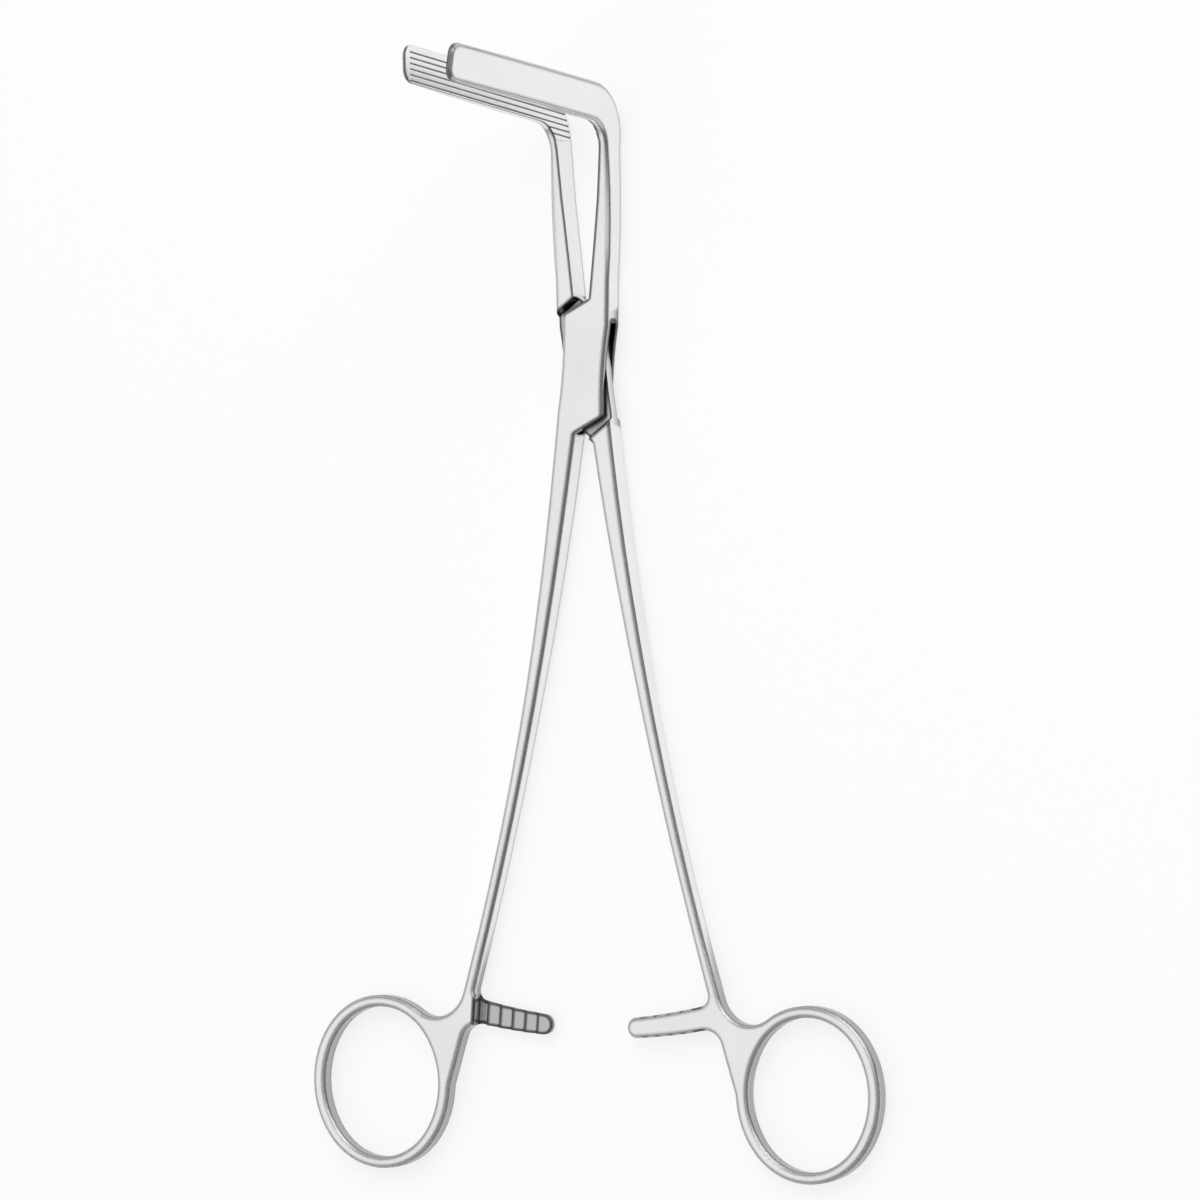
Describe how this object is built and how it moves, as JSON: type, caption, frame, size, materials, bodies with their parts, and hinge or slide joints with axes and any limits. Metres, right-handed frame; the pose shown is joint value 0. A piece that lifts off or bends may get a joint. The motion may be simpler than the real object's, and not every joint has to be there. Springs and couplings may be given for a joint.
{
  "type": "hysterectomy_clamp",
  "caption": "Ring-handled box-lock clamp with jaws bent square to the handles, serrated along their length, and a ratchet between the shanks.",
  "frame": {"origin": "on the axis of the pivot, in the plane of the back face of the box lock, on which the clamp lies", "axes": "+Z along the pivot axis, away from the surface the clamp lies on, the way the jaws point; +Y from the pivot towards the jaws, along the middle plane of the clamp; +X to the side of the jaw of the box arm and of the finger ring of the tongue arm"},
  "size_m": [0.1406, 0.2356, 0.0639],
  "materials": {
    "box_arm_steel": "satin",
    "tongue_arm_steel": "satin",
    "rivet_steel": "satin"
  },
  "bodies": {
    "box_half": {"box_arm": "box_arm_steel", "pivot_rivet": "rivet_steel"},
    "tongue_half": {"tongue_arm": "tongue_arm_steel"}
  },
  "joints": [
    {"name": "pivot", "type": "hinge", "parent": "box_half", "child": "tongue_half", "pos_m": [0, 0, 0], "axis": [0, 0, 1], "range_deg": [-9.2, 20]}
  ]
}
